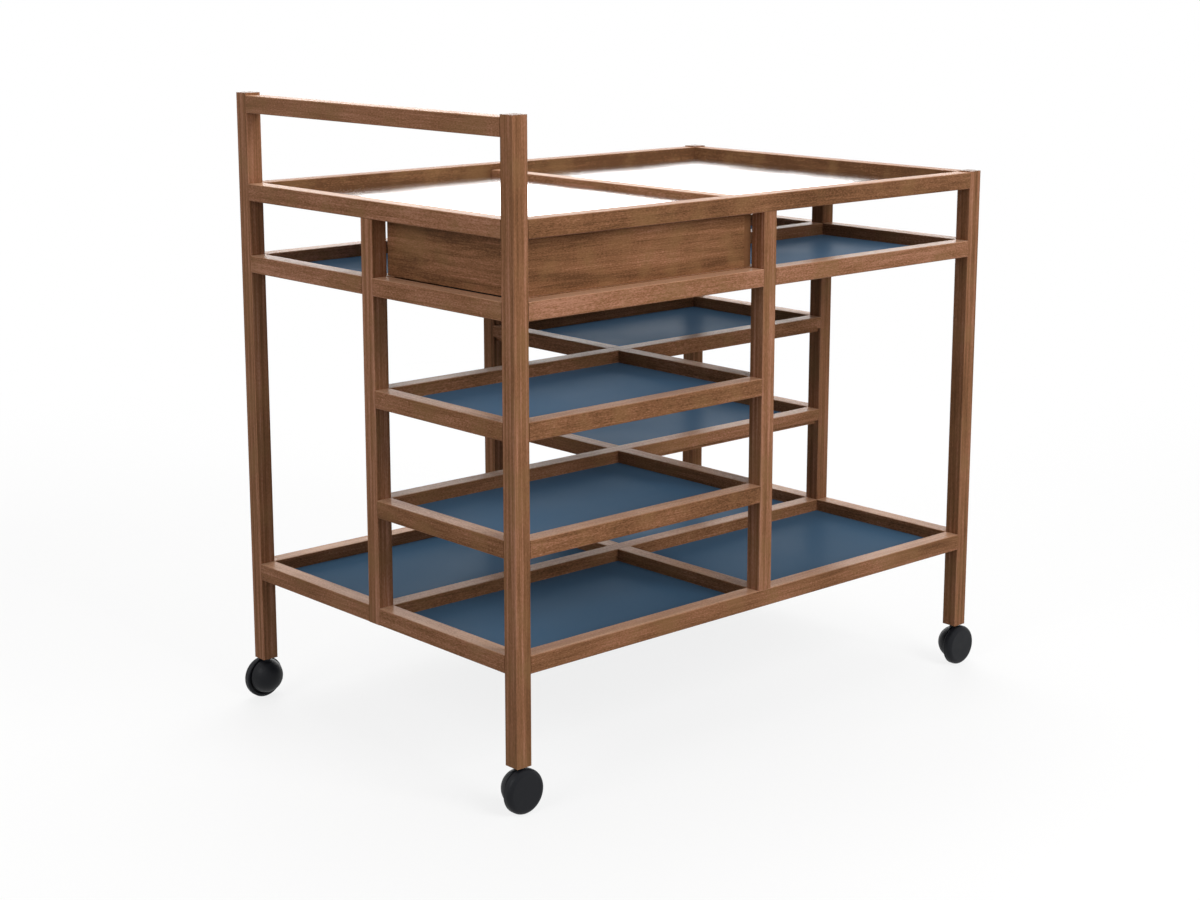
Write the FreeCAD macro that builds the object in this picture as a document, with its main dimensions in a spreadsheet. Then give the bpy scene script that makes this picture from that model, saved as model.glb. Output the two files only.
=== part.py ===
import FreeCAD, Part
import os
import re

import Sketcher

# A cheese trolley in square walnut stock: two stacks of shelves set corner to corner, open bays beside
# them, an upper tray all round, a drawer, two top panels, a push rail and four ball casters.
# X runs along the trolley away from the push rail, Y across it, Z up. The origin is on the floor under
# the middle of the frame. Millimetres throughout.

Vector = FreeCAD.Vector
Rotation = FreeCAD.Rotation

SIZES = (
    ("frame_length", 900, "over the corner posts, along X"),
    ("frame_width", 600, "over the corner posts, along Y"),
    ("stock", 24, "side of the square timber of posts and rails"),
    ("edge_ease", 0.8, "small chamfer on the timber's long edges"),
    # heights
    ("foot_gap", 2, "wheel's top to the foot of a post"),
    ("leg_drop", 122, "post below the bottom rails"),
    ("shelf_pitch", 150, "rail top to rail top, bottom to upper tray"),
    ("drawer_pitch", 101, "upper tray rail top to top rail top"),
    ("push_rise", 122.5, "top rail top to push rail top"),
    ("push_proud", 3.5, "handle posts above the push rail"),
    ("end_proud", 1.5, "end posts above the top rails"),
    # panels
    ("panel_thickness", 6, "panel, and height of its rebate"),
    ("panel_seat", 6, "width of the rebate that holds a panel's edge"),
    ("panel_gap", 0.3, "clearance round a panel"),
    ("divider_height", 15, "rail between the two top panels"),
    # joints
    ("tenon_length", 7, "stub tenon"),
    ("tenon_thickness", 8, "stub tenon, across the rail"),
    ("tenon_shoulder", 5, "rail top to tenon top"),
    ("divider_shoulder", 2, "divider top to its tenon's top"),
    ("post_tenon_width", 13, "tenon on the end of a middle post"),
    ("mortise_relief", 0.5, "glue space past a tenon's end"),
    # drawer
    ("drawer_side_gap", 1, "drawer to post, each side"),
    ("drawer_end_gap", 1, "drawer to the ends of its bay"),
    ("drawer_top_gap", 5, "drawer top to the top rail's underside"),
    ("drawer_wall", 12, "front, back and sides"),
    ("drawer_tongue", 5, "side into front and back"),
    ("tongue_thickness", 6, "inner half of the side"),
    ("drawer_floor", 6, "bottom panel"),
    ("floor_lift", 8, "drawer's lower edge to its bottom panel"),
    ("floor_groove", 5, "bottom panel's groove"),
    ("runner_width", 14, "strip under a drawer side"),
    ("runner_proud", 1, "runner above the tray rails"),
    ("running_gap", 0.3, "between faces that slide or turn past each other"),
    ("stop_size", 12, "block behind the drawer, along X and Y"),
    ("stop_height", 8, "block behind the drawer"),
    # casters
    ("wheel_diameter", 60, "tread"),
    ("foot_height", "=wheel_diameter + foot_gap", "floor to the foot of a post"),
    ("wheel_width", 13, "tread"),
    ("wheel_offset", 10.9, "stem axis to the wheel's middle plane"),
    ("wheel_face_round", 7, "wheel's outer edge"),
    ("wheel_back_bevel", 1.2, "wheel's inner edge"),
    ("wheel_rim", 4, "rim round the wheel's recess"),
    ("wheel_web", 3.5, "wheel's outer wall"),
    ("hub_diameter", 18, "wheel's hub"),
    ("hood_mouth", 1.8, "stem axis to the hood's open edge"),
    ("hood_inset", 4.5, "hood's open edge inside the tread"),
    ("hood_radius", "=wheel_diameter / 2 - hood_inset", "hood at its open edge"),
    ("hood_bulge", 23.3, "open edge to the hood's pole"),
    ("hood_lift", 3, "middle of the hood above the axle"),
    ("hood_wall", 2.6, "hood at its open edge"),
    ("cavity_depth", 16, "hollow in the hood"),
    ("cavity_floor", 28, "diameter of the hollow's floor"),
    ("axle_boss", 14, "diameter of the hood's boss for the axle"),
    ("stem_boss", 12, "diameter of the hood's boss for the stem"),
    ("axle_diameter", 6, "wheel pin"),
    ("axle_anchor", 15, "axle into the hood, from the stem axis"),
    ("neck_diameter", 6, "stem inside the hood"),
    ("neck_low", 5, "lower end of the stem, above the axle's axis"),
    ("stem_diameter", 8, "stem in its socket"),
    ("stem_length", 28, "stem in its socket"),
    ("collar_diameter", 12, "stem's thrust collar"),
    ("collar_thickness", 1, "stem's thrust collar"),
    ("thrust_gap", 0.1, "collar to socket flange"),
    ("socket_wall", 1.45, "steel sleeve in the post"),
    ("socket_length", 30, "steel sleeve in the post"),
    ("flange_diameter", 16, "sleeve's flange under the post"),
    ("flange_thickness", 0.8, "sleeve's flange"),
    ("round_fit", 0.05, "radial clearance of stems, axles and sleeves"),
)

doc = FreeCAD.newDocument("cheese_trolley")
sheet = doc.addObject("Spreadsheet::Sheet", "sizes")
for row, (alias, number, meaning) in enumerate(SIZES, start=1):
    sheet.set(f"A{row}", str(number))
    sheet.setAlias(f"A{row}", alias)
    sheet.set(f"B{row}", meaning)
doc.recompute()


def linked(text):
    # "stock / 2" becomes "sizes.stock / 2", as the expressions need it
    return re.sub(r"[a-z_]{2,}", lambda word: "sizes." + word.group(), text)


def value(text):
    result = sheet.evalExpression(linked(text))
    return float(getattr(result, "Value", result))


def bind(thing, name, text):
    thing.setExpression(name, linked(text))


# heights of the rail tops above the floor
BOTTOM = "(foot_height + leg_drop + stock)"
LOWER = f"({BOTTOM} + shelf_pitch)"
UPPER = f"({BOTTOM} + 2 * shelf_pitch)"
TRAY = f"({BOTTOM} + 3 * shelf_pitch)"
TOP = f"({TRAY} + drawer_pitch)"
PUSH = f"({TOP} + push_rise)"

# the frame on plan: post lines, and the bays between posts
POST_X = "(frame_length / 2 - stock / 2)"
POST_Y = "(frame_width / 2 - stock / 2)"
BAY_X = "((frame_length - 3 * stock) / 2)"
BAY_Y = "((frame_width - 3 * stock) / 2)"
SPAN_X = "(frame_length - 2 * stock)"
SPAN_Y = "(frame_width - 2 * stock)"
BAY_MID_X = f"(stock / 2 + {BAY_X} / 2)"
BAY_MID_Y = f"(stock / 2 + {BAY_Y} / 2)"

# the tenon's height in a rail, from the rail's middle: it stays above the rebate
TENON_LOW = "(panel_thickness - stock / 2)"
TENON_HIGH = "(stock / 2 - tenon_shoulder)"
MORTISE = "(tenon_length + mortise_relief)"

nodes = []


def new_body(name):
    return doc.addObject("PartDesign::Body", name)


def place(piece, x="0", y="0", z="0", turn=0):
    # stands a piece at a point, turned about Z by a number of degrees
    piece.Placement = FreeCAD.Placement(Vector(), Rotation(Vector(0, 0, 1), turn))
    for axis, text in zip("xyz", (x, y, z)):
        bind(piece, f".Placement.Base.{axis}", text)
    return piece


def node(name, pieces):
    # one file: a single piece, or several alike
    if len(pieces) == 1:
        whole = pieces[0]
    else:
        whole = doc.addObject("Part::Compound", name)
        whole.Links = pieces
    whole.Label = name
    nodes.append(whole)
    return whole


def again(piece, name, x="0", y="0", z="0", turn=0):
    # the same piece once more, somewhere else
    copy = doc.addObject("App::Link", name)
    copy.LinkedObject = piece
    copy.LinkTransform = False
    return place(copy, x, y, z, turn)


def plane_sketch(body, name, role):
    sketch = body.newObject("Sketcher::SketchObject", name)
    plane = next(p for p in body.Origin.OriginFeatures if p.Role == role)
    sketch.AttachmentSupport = [(plane, "")]
    sketch.MapMode = "FlatFace"
    return sketch


def pin_point(sketch, line, end, x, y):
    # holds one point of a sketch at a place given by two expressions
    for kind, axis, text in (("DistanceX", -2, x), ("DistanceY", -1, y)):
        if text == "0":
            sketch.addConstraint(Sketcher.Constraint("PointOnObject", line, end, axis))
        else:
            held = Sketcher.Constraint(kind, -1, 1, line, end, value(text))
            index = sketch.addConstraint(held)
            bind(sketch, f"Constraints[{index}]", text)


def outline(body, name, role, corners):
    # a closed outline through corners, each a pair of expressions
    sketch = plane_sketch(body, name, role)
    points = [Vector(value(x), value(y), 0) for x, y in corners]
    count = len(points)
    for i in range(count):
        sketch.addGeometry(Part.LineSegment(points[i], points[(i + 1) % count]), False)
    for i in range(count):
        sketch.addConstraint(Sketcher.Constraint("Coincident", i, 2, (i + 1) % count, 1))
    for i, (x, y) in enumerate(corners):
        pin_point(sketch, i, 1, x, y)
    return sketch


def pad(body, name, sketch, length, symmetric=True):
    feature = body.newObject("PartDesign::Pad", name)
    feature.Profile = sketch
    feature.SideType = "Symmetric" if symmetric else "One side"
    bind(feature, "Length", length)
    return feature


def revolve(body, name, sketch, axis):
    feature = body.newObject("PartDesign::Revolution", name)
    feature.Profile = sketch
    feature.ReferenceAxis = (sketch, [axis])
    feature.Angle = 360
    return feature


def block(body, kind, name, low, high):
    # a box added to a body or cut from it, between two corners in the body's own frame
    feature = body.newObject(f"PartDesign::{kind}Box", name)
    for side, start, end in zip(("Length", "Width", "Height"), low, high):
        bind(feature, side, f"({end}) - ({start})")
    for axis, start in zip("xyz", low):
        bind(feature, f".Placement.Base.{axis}", start)
    return feature


def rod(body, kind, name, diameter, length, start, axis="Z"):
    # a cylinder added to a body or cut from it, from start towards +axis, start on the body's axes
    feature = body.newObject(f"PartDesign::{kind}Cylinder", name)
    turned = Rotation(Vector(0, 0, 1), Vector(0, int(axis == "Y"), int(axis == "Z")))
    feature.Placement = FreeCAD.Placement(Vector(), turned)
    bind(feature, "Radius", f"({diameter}) / 2")
    bind(feature, "Height", length)
    bind(feature, f".Placement.Base.{axis.lower()}", start)
    return feature


# --- timber sections, each drawn about the middle of the square stock ---

SIDE = "(stock / 2)"
EASED = "(stock / 2 - edge_ease)"
CEILING = "(panel_thickness - stock / 2)"
SHELF = "(stock / 2 - panel_seat)"


def square_section():
    return [
        (f"-{EASED}", f"-{SIDE}"), (EASED, f"-{SIDE}"), (SIDE, f"-{EASED}"), (SIDE, EASED),
        (EASED, SIDE), (f"-{EASED}", SIDE), (f"-{SIDE}", EASED), (f"-{SIDE}", f"-{EASED}"),
    ]


def rebated_section():
    # a rebate along the lower edge on the panel's side
    return [
        (f"-{EASED}", f"-{SIDE}"), (SHELF, f"-{SIDE}"), (SHELF, CEILING), (SIDE, CEILING),
        (SIDE, EASED), (EASED, SIDE), (f"-{EASED}", SIDE), (f"-{SIDE}", EASED), (f"-{SIDE}", f"-{EASED}"),
    ]


def double_rebated_section(height="stock"):
    # a rebate on both sides, for a rail between two panels
    crown = f"({height} - stock / 2)"
    shoulder = f"({height} - stock / 2 - edge_ease)"
    return [
        (f"-{SHELF}", f"-{SIDE}"), (SHELF, f"-{SIDE}"), (SHELF, CEILING), (SIDE, CEILING),
        (SIDE, shoulder), (EASED, crown), (f"-{EASED}", crown), (f"-{SIDE}", shoulder),
        (f"-{SIDE}", CEILING), (f"-{SHELF}", CEILING),
    ]


# --- rails: a stub tenon on each end, and the cuts for whatever joins them midway ---


def rail(name, along, length, section, tenon_top=TENON_HIGH):
    body = new_body(name)
    role = "YZ_Plane" if along == "X" else "XZ_Plane"
    half = "(tenon_thickness / 2)"
    tongue = [(f"-{half}", TENON_LOW), (half, TENON_LOW), (half, tenon_top), (f"-{half}", tenon_top)]
    pad(body, name + "_tenons", outline(body, name + "_tenon_face", role, tongue), f"{length} + 2 * tenon_length")
    pad(body, name + "_bar", outline(body, name + "_section", role, section), length)
    return body


def rail_height(top):
    return f"{top} - stock / 2"


def mortise_from_side(body, name, top="stock / 2 - tenon_shoulder"):
    # midway along a rail that runs in X, in its +Y face, for a tenon that comes in along Y
    half = "(tenon_thickness / 2)"
    block(body, "Subtractive", name,
          (f"-{half}", f"stock / 2 - {MORTISE}", TENON_LOW), (half, "stock / 2", top))


def mortise_from_end(body, name, along, above):
    # midway along a rail, in its underside or its top, for the tenon of a middle post
    wide = "(post_tenon_width / 2)"
    thick = "(tenon_thickness / 2)"
    reach = (wide, thick) if along == "X" else (thick, wide)
    floor, ceiling = (f"stock / 2 - {MORTISE}", "stock / 2") if above else ("-stock / 2", f"{MORTISE} - stock / 2")
    block(body, "Subtractive", name,
          (f"-{reach[0]}", f"-{reach[1]}", floor), (reach[0], reach[1], ceiling))


# top frame, with the divider between its two panels
top_near = rail("top_rail_near", "X", SPAN_X, rebated_section())
mortise_from_end(top_near, "near_post_mortise", "X", above=False)
mortise_from_side(top_near, "divider_mortise", "divider_height - stock / 2 - divider_shoulder")
place(top_near, "0", f"-{POST_Y}", rail_height(TOP))
node("top_rail_near", [top_near])
node("top_rail_far", [again(top_near, "top_far", "0", POST_Y, rail_height(TOP), 180)])

top_end = rail("top_rail_end", "Y", SPAN_Y, [(f"-{x}" if x[0] != "-" else x[1:], z) for x, z in rebated_section()])
mortise_from_end(top_end, "end_post_mortise", "Y", above=False)
place(top_end, POST_X, "0", rail_height(TOP))
node("top_rail_end", [top_end])
node("top_rail_handle", [again(top_end, "top_handle", f"-{POST_X}", "0", rail_height(TOP), 180)])

divider = rail("top_divider", "Y", SPAN_Y, double_rebated_section("divider_height"),
               "divider_height - stock / 2 - divider_shoulder")
place(divider, "0", "0", rail_height(TOP))
node("top_divider", [divider])

push = rail("push_rail", "Y", SPAN_Y, square_section())
place(push, f"-{POST_X}", "0", rail_height(PUSH))
node("push_rail", [push])

# centre crosses on four levels, halved over each other where they meet
for level, top in (("tray", TRAY), ("upper_shelf", UPPER), ("lower_shelf", LOWER), ("bottom", BOTTOM)):
    long_rail = rail(f"{level}_centre_rail", "X", SPAN_X, double_rebated_section())
    block(long_rail, "Subtractive", f"{level}_lower_half",
          ("-stock / 2", "-stock / 2", "-stock / 2"), ("stock / 2", "stock / 2", "0"))
    place(long_rail, "0", "0", rail_height(top))
    node(f"{level}_centre_rail", [long_rail])
    short_rail = rail(f"{level}_cross_rail", "Y", SPAN_Y, double_rebated_section())
    block(short_rail, "Subtractive", f"{level}_upper_half",
          ("-stock / 2", "-stock / 2", "0"), ("stock / 2", "stock / 2", "stock / 2"))
    place(short_rail, "0", "0", rail_height(top))
    node(f"{level}_cross_rail", [short_rail])

# outer rails between a corner post and a middle post; turned half round they serve the far side
side_rail = rail("side_rail", "X", BAY_X, rebated_section())
place(side_rail, f"-{BAY_MID_X}", f"-{POST_Y}", rail_height(TRAY))
end_rail = rail("end_rail", "Y", BAY_Y, [(f"-{x}" if x[0] != "-" else x[1:], z) for x, z in rebated_section()])
place(end_rail, POST_X, f"-{BAY_MID_Y}", rail_height(TRAY))


def near_side(name, x, top):
    return again(side_rail, name, x, f"-{POST_Y}", rail_height(top))


def far_side(name, x, top):
    return again(side_rail, name, x, POST_Y, rail_height(top), 180)


def handle_end(name, y, top):
    return again(end_rail, name, f"-{POST_X}", y, rail_height(top), 180)


def far_end(name, y, top):
    return again(end_rail, name, POST_X, y, rail_height(top))


node("tray_side_rails", [
    side_rail,
    near_side("tray_side_2", BAY_MID_X, TRAY),
    far_side("tray_side_3", f"-{BAY_MID_X}", TRAY),
    far_side("tray_side_4", BAY_MID_X, TRAY),
])
node("tray_end_rails", [
    end_rail,
    far_end("tray_end_2", BAY_MID_Y, TRAY),
    handle_end("tray_end_3", f"-{BAY_MID_Y}", TRAY),
    handle_end("tray_end_4", BAY_MID_Y, TRAY),
])
node("shelf_side_rails", [
    near_side("upper_side_near", f"-{BAY_MID_X}", UPPER),
    near_side("lower_side_near", f"-{BAY_MID_X}", LOWER),
    far_side("upper_side_far", BAY_MID_X, UPPER),
    far_side("lower_side_far", BAY_MID_X, LOWER),
])
node("shelf_end_rails", [
    handle_end("upper_end_near", f"-{BAY_MID_Y}", UPPER),
    handle_end("lower_end_near", f"-{BAY_MID_Y}", LOWER),
    far_end("upper_end_far", BAY_MID_Y, UPPER),
    far_end("lower_end_far", BAY_MID_Y, LOWER),
])
node("bottom_end_rails", [
    handle_end("bottom_end_1", f"-{BAY_MID_Y}", BOTTOM),
    handle_end("bottom_end_2", BAY_MID_Y, BOTTOM),
    far_end("bottom_end_3", f"-{BAY_MID_Y}", BOTTOM),
    far_end("bottom_end_4", BAY_MID_Y, BOTTOM),
])

# the bottom side rails run from corner post to corner post, and the middle posts stand on them
bottom_side = rail("bottom_side_near", "X", SPAN_X, rebated_section())
mortise_from_end(bottom_side, "standing_post_mortise", "X", above=True)
mortise_from_side(bottom_side, "cross_rail_mortise")
place(bottom_side, "0", f"-{POST_Y}", rail_height(BOTTOM))
node("bottom_side_rails", [
    bottom_side,
    again(bottom_side, "bottom_side_far", "0", POST_Y, rail_height(BOTTOM), 180),
])


# --- posts: their frame is at the middle of the foot ---


def post(name, height, foot, mortises, tenon=None):
    # mortises is a list of (rail top above the floor, the faces that take a tenon there);
    # tenon gives the rail's direction and the ends of the tenon that runs up or down into it
    body = new_body(name)
    pad(body, name + "_bar", outline(body, name + "_section", "XY_Plane", square_section()), height, symmetric=False)
    half = "(tenon_thickness / 2)"
    if tenon:
        along, foot_end, head_end = tenon
        wide = "(post_tenon_width / 2)"
        reach = (wide, half) if along == "X" else (half, wide)
        block(body, "Additive", name + "_tenon",
              (f"-{reach[0]}", f"-{reach[1]}", foot_end), (reach[0], reach[1], head_end))
    face = "(stock / 2)"
    deep = f"(stock / 2 - {MORTISE})"
    spans = {
        "+X": ((deep, f"-{half}"), (face, half)),
        "-X": ((f"-{face}", f"-{half}"), (f"-{deep}", half)),
        "+Y": ((f"-{half}", deep), (half, face)),
        "-Y": ((f"-{half}", f"-{face}"), (half, f"-{deep}")),
    }
    for number, (top, faces) in enumerate(mortises):
        middle = f"{top} - stock / 2 - {foot}"
        for side in faces:
            low, high = spans[side]
            letter = "xy"["XY".index(side[1])] + ("p" if side[0] == "+" else "n")
            block(body, "Subtractive", f"{name}_mortise_{number}{letter}",
                  (*low, f"{middle} + {TENON_LOW}"), (*high, f"{middle} + {TENON_HIGH}"))
    return body


def socket_bore(body, name):
    rod(body, "Subtractive", name, "stem_diameter + 2 * socket_wall + 4 * round_fit",
        "socket_length + mortise_relief", "0")


def corner_post(name, height, x, y, faces, levels, push_face=None):
    mortises = [(top, faces) for top in levels]
    if push_face:
        mortises.append((PUSH, (push_face,)))
    body = post(name, height, "foot_height", mortises)
    socket_bore(body, name + "_socket_bore")
    place(body, x, y, "foot_height")
    node(name, [body])


HANDLE_POST = f"{PUSH} + push_proud - foot_height"
END_POST = f"{TOP} + end_proud - foot_height"
ALL_LEVELS = (BOTTOM, LOWER, UPPER, TRAY, TOP)
OPEN_LEVELS = (BOTTOM, TRAY, TOP)
corner_post("handle_post_near", HANDLE_POST, f"-{POST_X}", f"-{POST_Y}", ("+X", "+Y"), ALL_LEVELS, "+Y")
corner_post("handle_post_far", HANDLE_POST, f"-{POST_X}", POST_Y, ("+X", "-Y"), OPEN_LEVELS, "-Y")
corner_post("end_post_near", END_POST, POST_X, f"-{POST_Y}", ("-X", "+Y"), OPEN_LEVELS)
corner_post("end_post_far", END_POST, POST_X, POST_Y, ("-X", "-Y"), ALL_LEVELS)


# the middle posts of the ends run down to the bottom rails' underside
END_FOOT = f"({BOTTOM} - stock)"
end_height = f"{TOP} - stock - {END_FOOT}"
handle_side = post("handle_side_post", end_height, END_FOOT, [
    (BOTTOM, ("+X", "+Y", "-Y")),
    (LOWER, ("+X", "-Y")),
    (UPPER, ("+X", "-Y")),
    (TRAY, ("+X", "+Y", "-Y")),
], ("Y", f"{end_height} - edge_ease", f"{end_height} + tenon_length"))
place(handle_side, f"-{POST_X}", "0", END_FOOT)
node("handle_side_post", [handle_side])
node("end_side_post", [again(handle_side, "end_side", POST_X, "0", END_FOOT, 180)])

# those of the long sides stand on the bottom rails
side_height = f"{TOP} - stock - {BOTTOM}"
near_side_post = post("near_side_post", side_height, BOTTOM, [
    (LOWER, ("-X", "+Y")),
    (UPPER, ("-X", "+Y")),
    (TRAY, ("+X", "-X", "+Y")),
], ("X", "-tenon_length", f"{side_height} + tenon_length"))
place(near_side_post, "0", f"-{POST_Y}", BOTTOM)
node("near_side_post", [near_side_post])
node("far_side_post", [again(near_side_post, "far_side_post_turned", "0", POST_Y, BOTTOM, 180)])


# --- panels: they lie in the rails' rebates, flush with the undersides, notched where a post passes ---


def panel(name, span_x, span_y, notched):
    # notched names the corners that a post takes, as signs of X and Y
    body = new_body(name)
    edge_x = f"({span_x} / 2 + panel_seat - panel_gap)"
    edge_y = f"({span_y} / 2 + panel_seat - panel_gap)"
    back_x = f"({span_x} / 2 - panel_gap)"
    back_y = f"({span_y} / 2 - panel_gap)"
    corners = []
    for sx, sy, along_x_first in (("-", "-", False), ("", "-", True), ("", "", False), ("-", "", True)):
        if (sx, sy) not in notched:
            corners.append((sx + edge_x, sy + edge_y))
            continue
        inner = (sx + back_x, sy + back_y)
        by_end = (sx + edge_x, sy + back_y)
        by_side = (sx + back_x, sy + edge_y)
        corners += [by_side, inner, by_end] if along_x_first else [by_end, inner, by_side]
    pad(body, name + "_sheet", outline(body, name + "_outline", "XY_Plane", corners), "panel_thickness", symmetric=False)
    return body


def panel_height(top):
    return f"{top} - stock"


LOW_LOW, HIGH_LOW, HIGH_HIGH, LOW_HIGH = ("-", "-"), ("", "-"), ("", ""), ("-", "")

top_panel = panel("top_panel_handle", BAY_X, SPAN_Y, {LOW_LOW, LOW_HIGH})
place(top_panel, f"-{BAY_MID_X}", "0", panel_height(TOP))
node("top_panel_handle", [top_panel])
node("top_panel_end", [again(top_panel, "top_panel_turned", BAY_MID_X, "0", panel_height(TOP), 180)])

# a shelf panel meets a post at three corners and the centre cross at the fourth
near_panel = panel("near_panel", BAY_X, BAY_Y, {LOW_LOW, HIGH_LOW, LOW_HIGH})
place(near_panel, f"-{BAY_MID_X}", f"-{BAY_MID_Y}", panel_height(TRAY))
mirror_panel = panel("mirror_panel", BAY_X, BAY_Y, {LOW_LOW, HIGH_LOW, HIGH_HIGH})
place(mirror_panel, BAY_MID_X, f"-{BAY_MID_Y}", panel_height(TRAY))
node("tray_panels", [
    near_panel,
    mirror_panel,
    again(near_panel, "tray_panel_3", BAY_MID_X, BAY_MID_Y, panel_height(TRAY), 180),
    again(mirror_panel, "tray_panel_4", f"-{BAY_MID_X}", BAY_MID_Y, panel_height(TRAY), 180),
])
node("shelf_panels", [
    again(near_panel, "upper_panel_near", f"-{BAY_MID_X}", f"-{BAY_MID_Y}", panel_height(UPPER)),
    again(near_panel, "lower_panel_near", f"-{BAY_MID_X}", f"-{BAY_MID_Y}", panel_height(LOWER)),
    again(near_panel, "upper_panel_far", BAY_MID_X, BAY_MID_Y, panel_height(UPPER), 180),
    again(near_panel, "lower_panel_far", BAY_MID_X, BAY_MID_Y, panel_height(LOWER), 180),
])

# at the bottom the long sides' middle posts stand on the rails, so those corners are whole
bottom_panel = panel("bottom_panel", BAY_X, BAY_Y, {LOW_LOW, LOW_HIGH})
place(bottom_panel, f"-{BAY_MID_X}", f"-{BAY_MID_Y}", panel_height(BOTTOM))
node("bottom_panels", [
    bottom_panel,
    again(bottom_panel, "bottom_panel_2", f"-{BAY_MID_X}", BAY_MID_Y, panel_height(BOTTOM)),
    again(bottom_panel, "bottom_panel_3", BAY_MID_X, f"-{BAY_MID_Y}", panel_height(BOTTOM), 180),
    again(bottom_panel, "bottom_panel_4", BAY_MID_X, BAY_MID_Y, panel_height(BOTTOM), 180),
])


# --- drawer: its frame is at the middle of its bay, at its lower edge; it slides out past the handle end ---

DRAWER_BASE = f"({TRAY} + runner_proud + running_gap)"
DRAWER_RISE = f"({TOP} - stock - drawer_top_gap - {DRAWER_BASE})"
HALF_X = f"({BAY_X} / 2 - drawer_end_gap)"
HALF_Y = f"({BAY_Y} / 2 - drawer_side_gap)"
INNER_X = f"({HALF_X} - drawer_wall)"
INNER_Y = f"({HALF_Y} - drawer_wall)"
FLOOR_TOP = "(floor_lift + drawer_floor)"


def rectangle(x_low, x_high, y_low, y_high):
    return [(x_low, y_low), (x_high, y_low), (x_high, y_high), (x_low, y_high)]


def drawer_end(name):
    # drawn as the front; the back is the same board turned round
    body = new_body(name)
    face = rectangle(f"-{HALF_X}", f"-{INNER_X}", f"-{HALF_Y}", HALF_Y)
    pad(body, name + "_board", outline(body, name + "_face", "XY_Plane", face), DRAWER_RISE, symmetric=False)
    block(body, "Subtractive", name + "_floor_groove",
          (f"-{INNER_X} - floor_groove", f"-{INNER_Y} - floor_groove", "floor_lift"),
          (f"-{INNER_X}", f"{INNER_Y} + floor_groove", FLOOR_TOP))
    for label, low, high in (
        ("near", f"-{INNER_Y} - tongue_thickness", f"-{INNER_Y}"),
        ("far", INNER_Y, f"{INNER_Y} + tongue_thickness"),
    ):
        block(body, "Subtractive", f"{name}_{label}_housing",
              (f"-{INNER_X} - drawer_tongue", low, "0"), (f"-{INNER_X}", high, DRAWER_RISE))
    return body


def in_bay(piece, z, turn=0):
    return place(piece, f"-{BAY_MID_X}", f"-{BAY_MID_Y}", z, turn)


drawer_front = drawer_end("drawer_front")
in_bay(drawer_front, DRAWER_BASE)
node("drawer_front", [drawer_front])
node("drawer_back", [again(drawer_front, "drawer_back_turned", f"-{BAY_MID_X}", f"-{BAY_MID_Y}", DRAWER_BASE, 180)])

drawer_side = new_body("drawer_side")
side_face = rectangle(f"-{INNER_X}", INNER_X, f"-{HALF_Y}", f"-{INNER_Y}")
pad(drawer_side, "drawer_side_board", outline(drawer_side, "drawer_side_face", "XY_Plane", side_face),
    DRAWER_RISE, symmetric=False)
block(drawer_side, "Additive", "drawer_side_tongues",
      (f"-{INNER_X} - drawer_tongue", f"-{INNER_Y} - tongue_thickness", "0"),
      (f"{INNER_X} + drawer_tongue", f"-{INNER_Y}", DRAWER_RISE))
block(drawer_side, "Subtractive", "drawer_side_floor_groove",
      (f"-{INNER_X} - drawer_tongue", f"-{INNER_Y} - floor_groove", "floor_lift"),
      (f"{INNER_X} + drawer_tongue", f"-{INNER_Y}", FLOOR_TOP))
in_bay(drawer_side, DRAWER_BASE)
node("drawer_sides", [
    drawer_side,
    again(drawer_side, "drawer_side_far", f"-{BAY_MID_X}", f"-{BAY_MID_Y}", DRAWER_BASE, 180),
])

drawer_bottom = new_body("drawer_bottom")
floor_x = f"({INNER_X} + floor_groove - panel_gap)"
floor_y = f"({INNER_Y} + floor_groove - panel_gap)"
floor_face = rectangle(f"-{floor_x}", floor_x, f"-{floor_y}", floor_y)
pad(drawer_bottom, "drawer_bottom_sheet", outline(drawer_bottom, "drawer_bottom_face", "XY_Plane", floor_face),
    "drawer_floor", symmetric=False)
in_bay(drawer_bottom, f"{DRAWER_BASE} + floor_lift")
node("drawer_bottom", [drawer_bottom])


def strip(name, x_low, x_high, y_low, y_high, z_low, z_high):
    body = new_body(name)
    face = rectangle(x_low, x_high, y_low, y_high)
    pad(body, name + "_bar", outline(body, name + "_face", "XY_Plane", face), f"{z_high} - ({z_low})", symmetric=False)
    return in_bay(body, z_low)


def pair(name, piece, copy_z):
    copy = again(piece, name + "_far", f"-{BAY_MID_X}", f"-{BAY_MID_Y}", copy_z, 180)
    node(name, [piece, copy])


# runners stand on the tray panel against the rails; kickers under the top panel keep the drawer level
runner_base = f"({TRAY} - stock + panel_thickness)"
runner = strip("drawer_runner", f"-{BAY_X} / 2", f"{BAY_X} / 2", f"-{BAY_Y} / 2",
               f"runner_width - {BAY_Y} / 2", runner_base, f"({TRAY} + runner_proud)")
pair("drawer_runners", runner, runner_base)
kicker_base = f"({DRAWER_BASE} + {DRAWER_RISE} + running_gap)"
kicker = strip("drawer_kicker", f"-{BAY_X} / 2", f"{BAY_X} / 2", f"-{HALF_Y}", f"-{INNER_Y}",
               kicker_base, f"({TOP} - stock)")
pair("drawer_kickers", kicker, kicker_base)

# stop blocks on the cross rail, behind the drawer's back and beside the runners
stops = []
for label, y_low in (("near", f"(runner_width - {BAY_Y} / 2)"),
                     ("far", f"({BAY_Y} / 2 - runner_width - stop_size)")):
    stops.append(strip(f"drawer_stop_{label}", f"{HALF_X} + running_gap", f"{HALF_X} + running_gap + stop_size",
                       y_low, f"{y_low} + stop_size", TRAY, f"({TRAY} + stop_height)"))
node("drawer_stops", stops)


# --- ball casters: their frame is on the stem's axis at axle height, the wheel towards +Y ---

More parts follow.
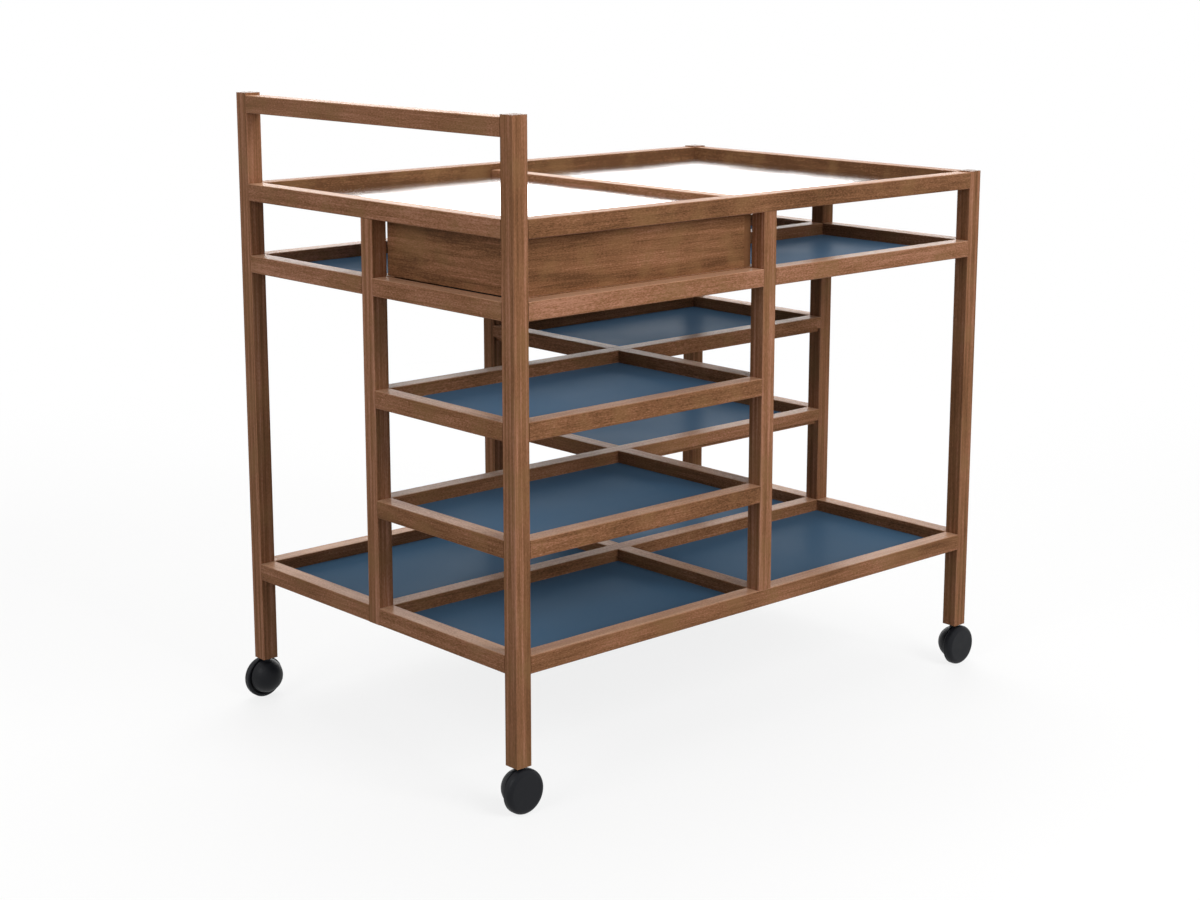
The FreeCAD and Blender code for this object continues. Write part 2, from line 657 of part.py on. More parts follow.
AXLE_HEIGHT = "(wheel_diameter / 2)"
WHEEL_BACK = "(wheel_offset - wheel_width / 2)"
WHEEL_FACE = "(wheel_offset + wheel_width / 2)"
COLLAR_TOP = f"(foot_height - flange_thickness - thrust_gap - {AXLE_HEIGHT})"
COLLAR_BASE = f"({COLLAR_TOP} - collar_thickness)"
BOSS_FACE = f"({WHEEL_BACK} - running_gap)"
POLE = "(hood_mouth - hood_bulge)"
HOLLOW_FLOOR = "(hood_mouth - cavity_depth)"
AXLE_END = f"({WHEEL_FACE} - wheel_web / 2 - running_gap)"


def dome_outline(body, name):
    # half the hood: an arc from the open edge to the pole, and a hollow with straight walls
    sketch = plane_sketch(body, name, "YZ_Plane")
    bind(sketch, ".AttachmentOffset.Base.y", "hood_lift")
    mouth = Vector(value("hood_mouth"), value("hood_radius"), 0)
    tip = Vector(value(POLE), 0, 0)
    run = mouth.x - tip.x
    centre = Vector(tip.x + (mouth.y ** 2 + run ** 2) / (2 * run), 0, 0)
    middle = centre + (mouth + tip - centre * 2).normalize() * (centre.x - tip.x)
    sketch.addGeometry(Part.Arc(mouth, middle, tip), False)
    arc = sketch.Geometry[0]
    mouth_end, pole_end = (1, 2) if arc.StartPoint.y > arc.EndPoint.y else (2, 1)
    pin_point(sketch, 0, mouth_end, "hood_mouth", "hood_radius")
    pin_point(sketch, 0, pole_end, POLE, "0")
    sketch.addConstraint(Sketcher.Constraint("PointOnObject", 0, 3, -1))
    corners = [(POLE, "0"), (HOLLOW_FLOOR, "0"), (HOLLOW_FLOOR, "cavity_floor / 2"),
               ("hood_mouth", "hood_radius - hood_wall"), ("hood_mouth", "hood_radius")]
    points = [Vector(value(x), value(y), 0) for x, y in corners]
    for i in range(1, 5):
        sketch.addGeometry(Part.LineSegment(points[i - 1], points[i]), False)
    sketch.addConstraint(Sketcher.Constraint("Coincident", 1, 1, 0, pole_end))
    for i in range(1, 4):
        sketch.addConstraint(Sketcher.Constraint("Coincident", i, 2, i + 1, 1))
        pin_point(sketch, i, 2, *corners[i])
    sketch.addConstraint(Sketcher.Constraint("Coincident", 4, 2, 0, mouth_end))
    return sketch


hood = new_body("caster_hood")
revolve(hood, "hood_shell", dome_outline(hood, "hood_profile"), "H_Axis")
boss_root = f"({HOLLOW_FLOOR} - 1)"
rod(hood, "Additive", "hood_axle_boss", "axle_boss", f"{BOSS_FACE} - {boss_root}", boss_root, "Y")
rod(hood, "Additive", "hood_stem_boss", "stem_boss", f"{COLLAR_BASE} - thrust_gap", "0")
block(hood, "Subtractive", "hood_wheel_side",
      ("-stem_boss / 2 - 1", BOSS_FACE, "-1"), ("stem_boss / 2 + 1", f"{BOSS_FACE} + stem_boss", COLLAR_TOP))
rod(hood, "Subtractive", "hood_axle_bore", "axle_diameter + 2 * round_fit", f"axle_anchor + {BOSS_FACE}", "-axle_anchor", "Y")
rod(hood, "Subtractive", "hood_stem_bore", "neck_diameter + 2 * round_fit", f"{COLLAR_BASE} - neck_low", "neck_low")

stem = new_body("caster_stem")
shank_top = f"({COLLAR_TOP} + thrust_gap + flange_thickness + stem_length)"
stem_profile = [
    ("0", "neck_low"), ("neck_diameter / 2", "neck_low"), ("neck_diameter / 2", COLLAR_BASE),
    ("collar_diameter / 2", COLLAR_BASE), ("collar_diameter / 2", COLLAR_TOP), ("stem_diameter / 2", COLLAR_TOP),
    ("stem_diameter / 2", f"{shank_top} - 1"), ("stem_diameter / 2 - 1", shank_top), ("0", shank_top),
]
revolve(stem, "stem_turned", outline(stem, "stem_profile", "XZ_Plane", stem_profile), "V_Axis")

axle = new_body("caster_axle")
axle_profile = [
    ("-axle_anchor", "0"), (AXLE_END, "0"), (AXLE_END, "axle_diameter / 2 - 0.5"),
    (f"{AXLE_END} - 0.5", "axle_diameter / 2"), ("-axle_anchor", "axle_diameter / 2"),
]
revolve(axle, "axle_turned", outline(axle, "axle_profile", "YZ_Plane", axle_profile), "H_Axis")

wheel = new_body("caster_wheel")
bore = "(axle_diameter / 2 + round_fit)"
blind = f"({AXLE_END} + running_gap)"
rim = "(wheel_diameter / 2 - wheel_rim)"
web = f"({WHEEL_FACE} - wheel_web)"
wheel_profile = [
    (WHEEL_BACK, bore), (blind, bore), (blind, "0"), (WHEEL_FACE, "0"), (WHEEL_FACE, "wheel_diameter / 2"),
    (f"{WHEEL_BACK} + wheel_back_bevel", "wheel_diameter / 2"), (WHEEL_BACK, "wheel_diameter / 2 - wheel_back_bevel"),
    (WHEEL_BACK, rim), (web, rim), (web, "hub_diameter / 2"), (WHEEL_BACK, "hub_diameter / 2"),
]
turned_wheel = revolve(wheel, "wheel_turned", outline(wheel, "wheel_profile", "YZ_Plane", wheel_profile), "H_Axis")
doc.recompute()


def tread_edge(shape, y):
    # the name of the circular edge of the tread that lies at y
    for number, edge in enumerate(shape.Edges, start=1):
        curve = edge.Curve
        if curve.TypeId == "Part::GeomCircle" and abs(curve.Radius - value("wheel_diameter / 2")) < 1e-6:
            if abs(curve.Center.y - y) < 1e-6:
                return f"Edge{number}"
    raise RuntimeError("the wheel has no tread edge there")


rounding = wheel.newObject("PartDesign::Fillet", "wheel_face_edge")
rounding.Base = (turned_wheel, [tread_edge(turned_wheel.Shape, value(WHEEL_FACE))])
bind(rounding, "Radius", "wheel_face_round")

socket = new_body("caster_socket")
sleeve_in = "(stem_diameter / 2 + round_fit)"
sleeve_out = "(stem_diameter / 2 + round_fit + socket_wall)"
socket_profile = [
    (sleeve_in, "-flange_thickness"), ("flange_diameter / 2", "-flange_thickness"), ("flange_diameter / 2", "0"),
    (sleeve_out, "0"), (sleeve_out, "socket_length"), (sleeve_in, "socket_length"),
]
revolve(socket, "socket_turned", outline(socket, "socket_profile", "XZ_Plane", socket_profile), "V_Axis")

CORNERS = (
    ("near_handle", f"-{POST_X}", f"-{POST_Y}", 180),
    ("far_handle", f"-{POST_X}", POST_Y, 0),
    ("near_end", POST_X, f"-{POST_Y}", 180),
    ("far_end", POST_X, POST_Y, 0),
)
sockets = []
for corner, x, y, turn in CORNERS:
    if not sockets:
        sockets.append(place(socket, x, y, "foot_height"))
    else:
        sockets.append(again(socket, f"socket_{corner}", x, y, "foot_height"))
    for name, piece in (("hood", hood), ("stem", stem), ("axle", axle), ("wheel", wheel)):
        node(f"caster_{name}_{corner}", [again(piece, f"{name}_{corner}", x, y, AXLE_HEIGHT, turn)])
node("caster_sockets", sockets)

doc.recompute()

# --- checks: every object built, every cut took something away, every shape sound ---

for item in doc.Objects:
    if "Invalid" in item.State or "Error" in item.State:
        raise RuntimeError(f"{item.Name} failed: {item.State}")
for body in doc.findObjects("PartDesign::Body"):
    volume = 0.0
    for feature in body.Group:
        if not feature.isDerivedFrom("PartDesign::Feature"):
            continue
        cuts = feature.TypeId.startswith("PartDesign::Subtractive")
        if cuts and feature.Shape.Volume > volume - 1e-3:
            raise RuntimeError(f"{feature.Name} cuts nothing")
        volume = feature.Shape.Volume

os.makedirs("parts", exist_ok=True)
solids = 0
for piece in nodes:
    shape = Part.getShape(piece)
    if shape.isNull() or not shape.isValid() or not shape.Solids:
        raise RuntimeError(f"{piece.Label} has no sound shape")
    solids += len(shape.Solids)
    shape.exportStep(f"parts/{piece.Label}.step")
print(f"{len(nodes)} nodes, {solids} solids")
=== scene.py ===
import math

import bpy
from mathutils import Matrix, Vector

# A walnut serving trolley on ball casters. Metres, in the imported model's frame:
# X runs away from the push rail, Y across, Z up, the floor at 0.

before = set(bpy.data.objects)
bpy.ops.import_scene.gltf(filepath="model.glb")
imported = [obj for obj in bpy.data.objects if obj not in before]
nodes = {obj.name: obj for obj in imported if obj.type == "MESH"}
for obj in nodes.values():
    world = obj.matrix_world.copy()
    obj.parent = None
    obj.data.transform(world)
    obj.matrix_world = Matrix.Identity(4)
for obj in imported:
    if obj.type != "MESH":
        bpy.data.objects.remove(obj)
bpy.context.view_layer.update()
print("frame loaded:", len(nodes), "nodes")

camera = {
    "place": (-2.064, -2.237, 1.066),
    "heading": 47.891,  # degrees from +X towards +Y
    "down": 11.522,  # degrees below level
    "lens": 63.364,
    "sensor": 36,
    "shift": (0.0019, -0.05),  # keeps the posts nearer to upright in the picture
    "reach": (0.05, 60),  # nearest and farthest that it sees
}


def makeCamera(settings):
    data = bpy.data.cameras.new("camera")
    data.lens = settings["lens"]
    data.sensor_width = settings["sensor"]
    data.shift_x, data.shift_y = settings["shift"]
    data.clip_start, data.clip_end = settings["reach"]
    eye = bpy.data.objects.new("camera", data)
    heading, down = math.radians(settings["heading"]), math.radians(settings["down"])
    level = math.cos(down)
    towards = Vector((math.cos(heading) * level, math.sin(heading) * level, -math.sin(down)))
    eye.location = settings["place"]
    eye.rotation_euler = towards.to_track_quat("-Z", "Y").to_euler()
    bpy.context.scene.collection.objects.link(eye)
    bpy.context.scene.camera = eye


makeCamera(camera)
print("camera placed")


def startMaterial(name):
    material = bpy.data.materials.new(name)
    material.use_nodes = True
    return material, material.node_tree, material.node_tree.nodes["Principled BSDF"]


def feed(tree, socket, value):
    # another node's socket gets a link, a plain value is set
    if isinstance(value, bpy.types.NodeSocket):
        tree.links.new(value, socket)
    else:
        socket.default_value = value


def put(tree, kind, inputs=None, **settings):
    made = tree.nodes.new(kind)
    for key, setting in settings.items():
        setattr(made, key, setting)
    for key, value in (inputs or {}).items():
        feed(tree, made.inputs[key], value)
    return made


def calc(tree, operation, *values):
    return put(tree, "ShaderNodeMath", dict(enumerate(values)), operation=operation).outputs[0]


def mix(tree, amount, first, second):
    # the Mix node keeps its colours in sockets 6 and 7 and gives its colour at output 2
    made = put(tree, "ShaderNodeMix", {0: amount}, data_type="RGBA")
    for index, colour in ((6, first), (7, second)):
        feed(tree, made.inputs[index], (*colour, 1) if isinstance(colour, tuple) else colour)
    return made.outputs[2]


def fade(tree, value, low, high, outLow=0.0, outHigh=1.0):
    # a smooth step from outLow to outHigh as value goes from low to high
    return put(tree, "ShaderNodeMapRange", {
        "Value": value, "From Min": low, "From Max": high, "To Min": outLow, "To Max": outHigh,
    }, interpolation_type="SMOOTHSTEP").outputs[0]


def stretch(tree, place, factors):
    return put(tree, "ShaderNodeVectorMath", {0: place, 1: factors}, operation="MULTIPLY").outputs[0]


def noise(tree, place, scale, detail=2, rough=0.5, warp=0.0):
    return put(tree, "ShaderNodeTexNoise", {
        "Vector": place, "Scale": scale, "Detail": detail, "Roughness": rough, "Distortion": warp,
    }).outputs[0]


def ramp(tree, value, stops):
    made = put(tree, "ShaderNodeValToRGB", {"Fac": value})
    marks = made.color_ramp.elements
    while len(marks) < len(stops):
        marks.new(0.5)
    for mark, (position, colour) in zip(marks, stops):
        mark.position = position
        mark.color = (*colour, 1)
    return made.outputs[0]


def bump(tree, shader, height, strength, distance):
    made = put(tree, "ShaderNodeBump", {"Height": height, "Strength": strength, "Distance": distance})
    tree.links.new(made.outputs[0], shader.inputs["Normal"])


def paint(name, material):
    # the finish of a CAD node, through its object's own slots
    for slot in nodes[name].material_slots:
        slot.link = "OBJECT"
        slot.material = material


walnut = {
    "darkVein": (0.110, 0.050, 0.023),
    "heart": (0.190, 0.087, 0.040),
    "warm": (0.262, 0.119, 0.060),
    "pale": (0.420, 0.205, 0.130),
    "toneStops": {"darkVein": 0.35, "heart": 0.45, "warm": 0.54, "pale": 0.68},  # tone at each colour
    "stickSpread": 0.04,  # how far one stick's tone may lie from the next one's
    "patchSize": 0.10,  # clouds of paler and darker wood
    "olive": (0.220, 0.118, 0.050),  # what the greener patches lean towards
    "oliveSize": 0.05,
    "oliveSpread": (0.45, 0.70),
    "oliveShare": 0.5,
    "poreSpread": (0.58, 0.74),  # only the strongest of the fine noise makes pores
    "poreShade": 0.5,
    "endGrain": (0.130, 0.060, 0.028),
    "endTurn": (0.80, 0.95),  # how squarely a face has to look along the grain to be a cut end
    "ringSize": 0.0035,
    "edgeTurn": (0.97, 0.80),  # squareness to the axes: 1 on a flat face, less on an eased edge
    "edgeLight": 0.35,  # how much paler the painted highlight makes an eased edge
    "leastEdgeLight": 0.35,  # share of that where the painted highlight is weakest
    "edgeHighlightSpread": (0.30, 0.65),  # of the patches that spread the painted highlight along the edges
    "wiped": (0.600, 0.345, 0.213),  # upward faces, paler as painted light falling from above
    "wipedVein": (0.420, 0.218, 0.127),
    "wipedTones": (0.40, 0.58),  # from wipedVein to wiped
    "topTurn": (0.5, 0.95),  # how squarely a face has to look up
    "topLight": 0.88,  # how far the upward faces are paled by painted light
    "roughness": (0.30, 0.42),
    "roughTones": (0.38, 0.64),  # the darker grain is the rougher
    "poreRoughness": 0.12,
    "refraction": 1.09,
    "grainDepth": 0.00012,
    "grainStrength": 0.5,
    "poreDepth": 0.8,  # over the veins' depth
}
# size across the grain, that size over the one along it, and the noise that draws it
grains = {
    "streak": {"size": 0.0046, "squeeze": 0.012, "detail": 2, "rough": 0.5, "warp": 0.15},
    "wave": {"size": 0.020, "squeeze": 0.070, "detail": 3, "rough": 0.55, "warp": 1.2},
    "vein": {"size": 0.0016, "squeeze": 0.028, "detail": 3, "rough": 0.6, "warp": 0.2},
    "speck": {"size": 0.0011, "squeeze": 0.30, "detail": 2, "rough": 0.6, "warp": 0.0},
    "pore": {"size": 0.0005, "squeeze": 0.06, "detail": 1, "rough": 0.5, "warp": 0.0},
}
# how strongly each part of the grain shows in a stick of that cut
cuts = {
    "post": {"streak": 0.50, "wave": 0.12, "vein": 0.28, "speck": 0.24, "patch": 0.12},
    "rail": {"streak": 0.14, "wave": 0.26, "vein": 0.30, "speck": 0.50, "patch": 0.20},
    "board": {"streak": 0.08, "wave": 0.46, "vein": 0.36, "speck": 0.44, "patch": 0.22},
}
# nodes made darker or paler than the rest: the wood's own tone from stick to stick, but top_rail_far and
# top_rail_end are darkened as painted shade
tonesAndShade = {
    "top_rail_near": -0.035, "top_rail_far": -0.135, "top_rail_end": -0.130, "shelf_side_rails": -0.040,
    "tray_side_rails": 0.062, "near_side_post": 0.050, "drawer_sides": -0.035, "drawer_front": -0.045,
    "handle_side_post": 0.050, "tray_end_rails": 0.055, "handle_post_near": 0.016, "push_rail": 0.035,
    "top_rail_handle": 0.035, "end_post_near": 0.005, "handle_post_far": 0.022, "bottom_end_rails": 0.018,
}
# steps that set one stick's grain apart from the next one's
stickSteps = {
    "node": 1.37,
    "sides": (3.1, 5.3),
    "level": 2.3,
    "levelsPerMetre": 6.7,
}
grainAxis = {"X": 0, "Y": 1, "Z": 2}


def stickNumber(tree, place, seed, splits):
    # splits names the axes whose two sides hold separate sticks, and L where the shelf levels do
    stick = put(tree, "ShaderNodeValue").outputs[0]
    stick.default_value = seed * stickSteps["node"]
    if not splits:
        return stick
    parts = put(tree, "ShaderNodeSeparateXYZ", {0: place})
    for step, letter in zip(stickSteps["sides"], splits):
        side = calc(tree, "SIGN", parts.outputs[grainAxis[letter]])
        stick = calc(tree, "MULTIPLY_ADD", side, step, stick)
    if "L" in splits:
        height = calc(tree, "MULTIPLY", parts.outputs[2], stickSteps["levelsPerMetre"])
        stick = calc(tree, "MULTIPLY_ADD", calc(tree, "ROUND", height), stickSteps["level"], stick)
    return stick


def drawGrain(tree, place, kind, along):
    settings = grains[kind]
    squeeze = [1.0, 1.0, 1.0]
    squeeze[grainAxis[along]] = settings["squeeze"]
    drawn = stretch(tree, place, squeeze)
    return noise(tree, drawn, 1 / settings["size"], settings["detail"], settings["rough"], settings["warp"])


def moved(tree, tone, value, share):
    # the tone, moved by share of how far value lies from its middle
    return calc(tree, "MULTIPLY_ADD", calc(tree, "SUBTRACT", value, 0.5), share, tone)


def woodTone(tree, stick, shown, cut, lean):
    own = put(tree, "ShaderNodeTexWhiteNoise", {"W": stick}, noise_dimensions="1D").outputs["Value"]
    tone = moved(tree, 0.5 + lean, own, walnut["stickSpread"])
    for kind, share in cuts[cut].items():
        tone = moved(tree, tone, shown[kind], share)
    return tone


def longGrain(tree, place, tone, pores):
    # the colour along the grain, with greener patches and dark pores
    colour = ramp(tree, tone, [(stop, walnut[wood]) for wood, stop in walnut["toneStops"].items()])
    patches = noise(tree, place, 1 / walnut["oliveSize"])
    greener = fade(tree, patches, *walnut["oliveSpread"], 0.0, walnut["oliveShare"])
    colour = mix(tree, greener, colour, walnut["olive"])
    return mix(tree, calc(tree, "MULTIPLY", pores, walnut["poreShade"]), colour, walnut["darkVein"])


def paintedLightAndCutEnds(tree, place, normal, colour, tone, patch, along):
    # the eased edges get a painted highlight and the upward faces painted light, both paler, and the cut
    # ends are darker end grain
    facing = put(tree, "ShaderNodeSeparateXYZ", {0: normal})
    turned = [calc(tree, "ABSOLUTE", facing.outputs[i]) for i in range(3)]
    squarest = calc(tree, "MAXIMUM", calc(tree, "MAXIMUM", turned[0], turned[1]), turned[2])
    # painted highlight: the eased edges are paler, as where light catches them
    edge = fade(tree, squarest, *walnut["edgeTurn"])
    least = walnut["leastEdgeLight"] * walnut["edgeLight"]
    edgeHighlight = fade(tree, patch, *walnut["edgeHighlightSpread"], least, walnut["edgeLight"])
    colour = mix(tree, calc(tree, "MULTIPLY", edge, edgeHighlight), colour, walnut["pale"])
    # painted light: the upward faces are paler, as where light falls from above
    upward = fade(tree, facing.outputs[2], *walnut["topTurn"], 0.0, walnut["topLight"])
    wiped = mix(tree, fade(tree, tone, *walnut["wipedTones"]), walnut["wipedVein"], walnut["wiped"])
    colour = mix(tree, upward, colour, wiped)
    rings = noise(tree, place, 1 / walnut["ringSize"], detail=3, rough=0.6)
    endColour = mix(tree, rings, walnut["endGrain"], walnut["heart"])
    cutEnd = fade(tree, turned[grainAxis[along]], *walnut["endTurn"])
    return mix(tree, cutEnd, colour, endColour)


def walnutMaterial(name, along, seed, cut, splits, lean):
    # along is the grain's direction, lean makes the whole node paler or darker
    material, tree, shader = startMaterial(name)
    coords = put(tree, "ShaderNodeTexCoord")
    place = coords.outputs["Object"]
    stick = stickNumber(tree, place, seed, splits)
    shift = put(tree, "ShaderNodeCombineXYZ", {0: stick, 1: stick, 2: stick}).outputs[0]
    place = put(tree, "ShaderNodeVectorMath", {0: place, 1: shift}, operation="ADD").outputs[0]
    shown = {kind: drawGrain(tree, place, kind, along) for kind in grains}
    shown["patch"] = noise(tree, place, 1 / walnut["patchSize"])
    pores = fade(tree, shown["pore"], *walnut["poreSpread"])
    tone = woodTone(tree, stick, shown, cut, lean)
    colour = longGrain(tree, place, tone, pores)
    colour = paintedLightAndCutEnds(tree, place, coords.outputs["Normal"], colour, tone, shown["patch"], along)
    tree.links.new(colour, shader.inputs["Base Color"])
    smooth, dull = walnut["roughness"]
    sheen = fade(tree, tone, *walnut["roughTones"], dull, smooth)
    rough = calc(tree, "MULTIPLY_ADD", pores, walnut["poreRoughness"], sheen)
    tree.links.new(rough, shader.inputs["Roughness"])
    relief = calc(tree, "SUBTRACT", shown["vein"], calc(tree, "MULTIPLY", pores, walnut["poreDepth"]))
    bump(tree, shader, relief, walnut["grainStrength"], walnut["grainDepth"])
    shader.inputs["IOR"].default_value = walnut["refraction"]
    return material


# each stick's cut, its grain's direction, and how its node's sticks lie apart
sticks = [
    ("post", "Z", "", ["handle_post_near", "handle_post_far", "end_post_near", "end_post_far",
                       "handle_side_post", "end_side_post", "near_side_post", "far_side_post"]),
    ("rail", "Y", "", ["push_rail", "top_rail_handle", "top_rail_end", "top_divider", "tray_cross_rail",
                       "upper_shelf_cross_rail", "lower_shelf_cross_rail", "bottom_cross_rail"]),
    ("board", "Y", "", ["drawer_front", "drawer_back"]),
    ("rail", "Y", "XY", ["tray_end_rails", "bottom_end_rails"]),
    ("rail", "Y", "XYL", ["shelf_end_rails"]),
    ("rail", "X", "", ["top_rail_near", "top_rail_far", "tray_centre_rail", "upper_shelf_centre_rail",
                       "lower_shelf_centre_rail", "bottom_centre_rail", "drawer_runners",
                       "drawer_kickers", "drawer_stops"]),
    ("board", "X", "", ["drawer_sides", "drawer_bottom"]),
    ("rail", "X", "Y", ["bottom_side_rails"]),
    ("rail", "X", "XY", ["tray_side_rails"]),
    ("rail", "X", "XYL", ["shelf_side_rails"]),
]
seed = 1
for cut, along, splits, names in sticks:
    for name in names:
        paint(name, walnutMaterial(f"walnut_{name}", along, seed, cut, splits, tonesAndShade.get(name, 0.0)))
        seed += 1
print("walnut:", seed - 1, "nodes")

panels = {
    # the two top panels mirror the rails round them, blurred, and otherwise show the white studio
    "bright_top": {
        "colour": (0.94, 0.94, 0.935), "cloud": (0.91, 0.91, 0.91), "roughness": (0.16, 0.21),
        "refraction": 1.45, "metal": 1.0, "nodes": ["top_panel_handle", "top_panel_end"],
    },
    "blue_laminate": {
        "colour": (0.037, 0.082, 0.138), "cloud": (0.042, 0.091, 0.151), "roughness": (0.34, 0.44),
        "refraction": 1.03, "metal": 0.0,
        "sheen": {"Sheen Weight": 0.30, "Sheen Roughness": 0.40, "Sheen Tint": (0.34, 0.58, 0.92, 1)},
        "nodes": ["tray_panels", "shelf_panels", "bottom_panels"],
    },
}
# what both kinds of panel have: soft clouds, a faint pebble and a few hairline rubs
panelFace = {
    "cloudsPerMetre": 5,
    "cloudSpread": (0.35, 0.65),
    "pebblesPerMetre": 900,
    "pebbleStrength": 0.12,
    "pebbleDepth": 0.00008,
    "rubsPerMetre": (14, 160, 14),
    "rubSpread": (0.60, 0.78),
    "rubRoughness": 0.05,
}


def panelMaterial(name, finish):
    material, tree, shader = startMaterial(name)
    place = put(tree, "ShaderNodeTexCoord").outputs["Object"]
    clouds = noise(tree, place, panelFace["cloudsPerMetre"], detail=3, rough=0.55)
    tree.links.new(mix(tree, clouds, finish["colour"], finish["cloud"]), shader.inputs["Base Color"])
    rubbed = stretch(tree, place, panelFace["rubsPerMetre"])
    streaks = noise(tree, rubbed, scale=1, detail=4, rough=0.7, warp=1.2)
    rubs = fade(tree, streaks, *panelFace["rubSpread"])
    dull = fade(tree, clouds, *panelFace["cloudSpread"], *finish["roughness"])
    rough = calc(tree, "MULTIPLY_ADD", rubs, panelFace["rubRoughness"], dull)
    tree.links.new(rough, shader.inputs["Roughness"])
    pebble = noise(tree, place, panelFace["pebblesPerMetre"])
    bump(tree, shader, pebble, panelFace["pebbleStrength"], panelFace["pebbleDepth"])
    shader.inputs["IOR"].default_value = finish["refraction"]
    shader.inputs["Metallic"].default_value = finish["metal"]
    for socket, value in finish.get("sheen", {}).items():
        shader.inputs[socket].default_value = value
    return material


for name, finish in panels.items():
    board = panelMaterial(name, finish)
    for node in finish["nodes"]:
        paint(node, board)
print("panels laid")

nylon = {
    "colour": (0.0062, 0.0069, 0.0090),
    "dust": (0.0120, 0.0125, 0.0145),
    "cloudsPerMetre": 60,
    "dustSpread": (0.45, 0.8),
    "dustShare": 0.6,
    "roughness": (0.44, 0.56),
    "roughSpread": (0.3, 0.7),
    "refraction": 1.28,
    "grainsPerMetre": 2600,  # the moulded surface's fine spark grain
    "grainStrength": 0.25,
    "grainDepth": 0.00008,
}


def nylonMaterial():
    material, tree, shader = startMaterial("black_nylon")
    place = put(tree, "ShaderNodeTexCoord").outputs["Object"]
    clouds = noise(tree, place, nylon["cloudsPerMetre"], detail=3, rough=0.6)
    dusty = fade(tree, clouds, *nylon["dustSpread"], 0, nylon["dustShare"])
    tree.links.new(mix(tree, dusty, nylon["colour"], nylon["dust"]), shader.inputs["Base Color"])
    rough = fade(tree, clouds, *nylon["roughSpread"], *nylon["roughness"])
    tree.links.new(rough, shader.inputs["Roughness"])
    spark = noise(tree, place, nylon["grainsPerMetre"], rough=0.6)
    bump(tree, shader, spark, nylon["grainStrength"], nylon["grainDepth"])
    shader.inputs["IOR"].default_value = nylon["refraction"]
    return material


steel = {
    "colour": (0.56, 0.56, 0.55),
    "lineShade": 0.85,  # the turning lines, against the plain colour
    "linesPerMetre": (60, 60, 2400),
    "lineStrength": 0.15,
    "lineDepth": 0.00005,
    "roughness": (0.26, 0.42),
    "roughSpread": (0.3, 0.7),
}


def steelMaterial():
    material, tree, shader = startMaterial("zinc_steel")
    place = put(tree, "ShaderNodeTexCoord").outputs["Object"]
    lines = noise(tree, stretch(tree, place, steel["linesPerMetre"]), scale=1, rough=0.6)
    shade = tuple(steel["lineShade"] * part for part in steel["colour"])
    tree.links.new(mix(tree, lines, steel["colour"], shade), shader.inputs["Base Color"])
    rough = fade(tree, lines, *steel["roughSpread"], *steel["roughness"])
    tree.links.new(rough, shader.inputs["Roughness"])
    bump(tree, shader, lines, steel["lineStrength"], steel["lineDepth"])
    shader.inputs["Metallic"].default_value = 1.0
    return material


blackNylon = nylonMaterial()
zincSteel = steelMaterial()
paint("caster_sockets", zincSteel)
for corner in ("near_handle", "far_handle", "near_end", "far_end"):
    for piece in ("hood", "wheel"):
        paint(f"caster_{piece}_{corner}", blackNylon)
    for piece in ("stem", "axle"):
        paint(f"caster_{piece}_{corner}", zincSteel)
print("casters finished")

floor = {
    "size": 24.0,
    "colour": (0.90, 0.90, 0.895),
    "grainShade": 0.985,
    "grainsPerMetre": 30,
    "roughness": 0.7,
    "bounce": (0.30, 0.30, 0.30),  # what the floor gives back to the object
    "glow": 0.80,  # share of plain white in the floor as seen, so that its shadow stays soft
    "reach": (1.1, 2.6),  # from here to here the floor fades into the backdrop
}
world = {
    "light": (0.62, 0.25),  # at the horizon and overhead
    "heights": (0.0, 0.8),  # from the horizon to where it is as overhead
}
# a mirrored lamp shows in polished faces, the others would only bleach the top panels
lamps = {
    "wall_behind": {
        "place": (2.9, 3.15, 1.15), "aim": (0, 0, 1.15), "size": (3.6, 1.9), "power": 62, "mirrored": True,
    },
    "overhead": {
        "place": (0.9, 1.2, 3.6), "aim": (0, 0, 0.4), "size": (2.4, 2.4), "power": 60, "mirrored": False,
    },
    "near_side": {
        "place": (0.1, -3.2, 2.1), "aim": (0, 0, 0.4), "size": (1.8, 1.8), "power": 84, "mirrored": False,
    },
    "handle_end": {
        "place": (-2.7, -0.4, 2.1), "aim": (0, 0, 0.6), "size": (1.2, 1.2), "power": 25, "mirrored": True,
    },
}


def seenDirectly(tree):
    # 1 for what the camera, a reflection or a clear piece shows, 0 for light that falls on the object
    path = put(tree, "ShaderNodeLightPath")
    straight = calc(tree, "MAXIMUM", path.outputs["Is Camera Ray"], path.outputs["Is Transmission Ray"])
    return calc(tree, "MAXIMUM", straight, path.outputs["Is Glossy Ray"])


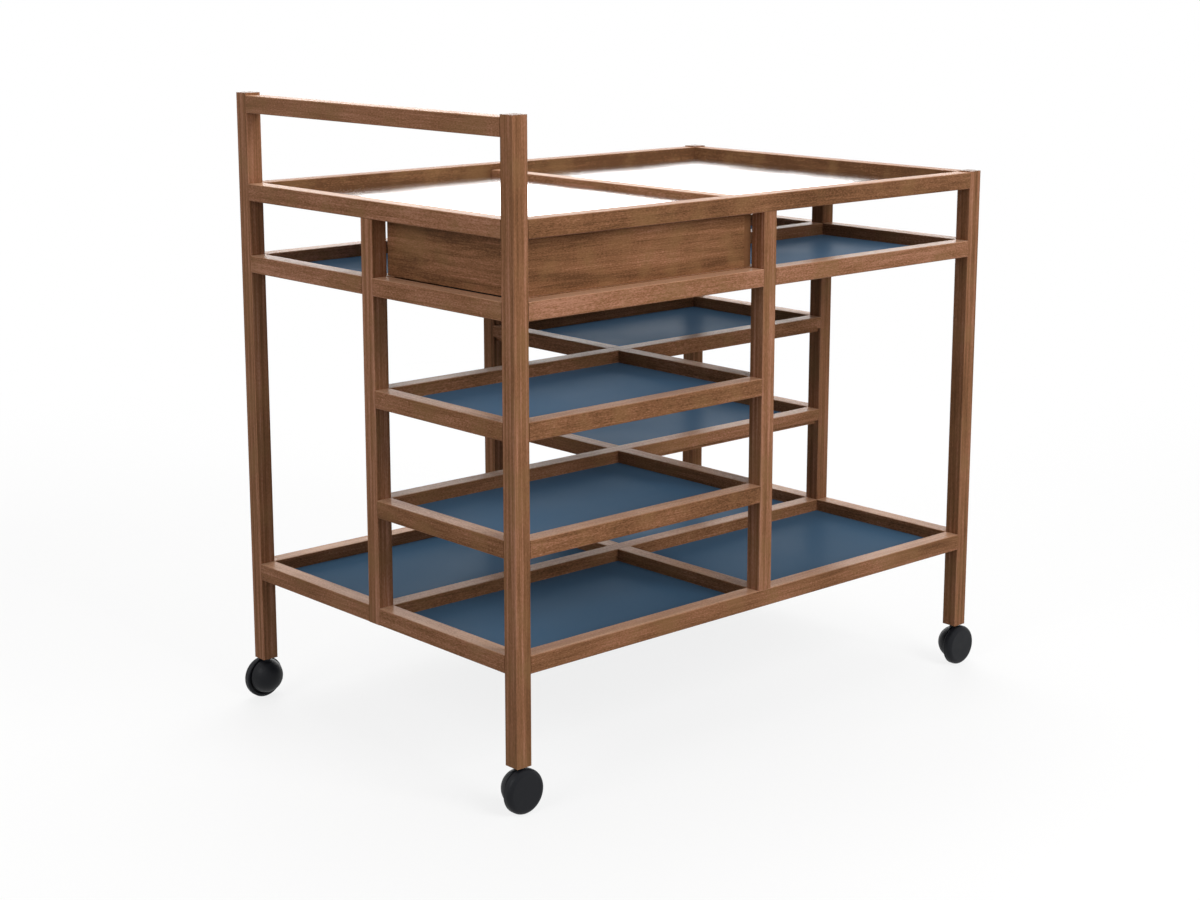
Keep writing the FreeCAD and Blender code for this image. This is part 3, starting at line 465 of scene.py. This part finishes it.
def floorMaterial():
    material, tree, shader = startMaterial("pale_floor")
    place = put(tree, "ShaderNodeTexCoord").outputs["Object"]
    seen = seenDirectly(tree)
    grain = noise(tree, place, floor["grainsPerMetre"], detail=3)
    shade = tuple(floor["grainShade"] * part for part in floor["colour"])
    shown = mix(tree, grain, floor["colour"], shade)
    tree.links.new(mix(tree, seen, floor["bounce"], shown), shader.inputs["Base Color"])
    shader.inputs["Roughness"].default_value = floor["roughness"]
    away = put(tree, "ShaderNodeVectorMath", {0: place}, operation="LENGTH").outputs["Value"]
    plain = fade(tree, away, *floor["reach"], floor["glow"], 1.0)
    white = put(tree, "ShaderNodeEmission", {"Color": (1, 1, 1, 1), "Strength": 1.0})
    blend = put(tree, "ShaderNodeMixShader", {
        0: calc(tree, "MULTIPLY", plain, seen), 1: shader.outputs[0], 2: white.outputs[0],
    })
    tree.links.new(blend.outputs[0], tree.nodes["Material Output"].inputs["Surface"])
    return material


def makeFloor():
    mesh = bpy.data.meshes.new("floor")
    half = floor["size"] / 2
    corners = [(-half, -half, 0), (half, -half, 0), (half, half, 0), (-half, half, 0)]
    mesh.from_pydata(corners, [], [(0, 1, 2, 3)])
    mesh.materials.append(floorMaterial())
    plane = bpy.data.objects.new("floor", mesh)
    bpy.context.scene.collection.objects.link(plane)


def makeWorld():
    studio = bpy.data.worlds.new("studio")
    bpy.context.scene.world = studio
    studio.use_nodes = True
    tree = studio.node_tree
    direction = put(tree, "ShaderNodeSeparateXYZ", {0: put(tree, "ShaderNodeTexCoord").outputs["Generated"]})
    light = fade(tree, direction.outputs[2], *world["heights"], *world["light"])
    background = tree.nodes["Background"]
    background.inputs["Color"].default_value = (1, 1, 1, 1)
    tree.links.new(calc(tree, "MAXIMUM", light, seenDirectly(tree)), background.inputs["Strength"])


def makeLamp(name, settings):
    data = bpy.data.lights.new(name, "AREA")
    data.shape = "RECTANGLE"
    data.size, data.size_y = settings["size"]
    data.energy = settings["power"]
    lamp = bpy.data.objects.new(name, data)
    lamp.location = settings["place"]
    aim = Vector(settings["aim"]) - lamp.location
    lamp.rotation_euler = aim.to_track_quat("-Z", "Y").to_euler()
    lamp.visible_glossy = settings["mirrored"]
    bpy.context.scene.collection.objects.link(lamp)


makeFloor()
makeWorld()
for name, settings in lamps.items():
    makeLamp(name, settings)
bpy.context.scene.view_settings.view_transform = "Standard"
print("studio lit")
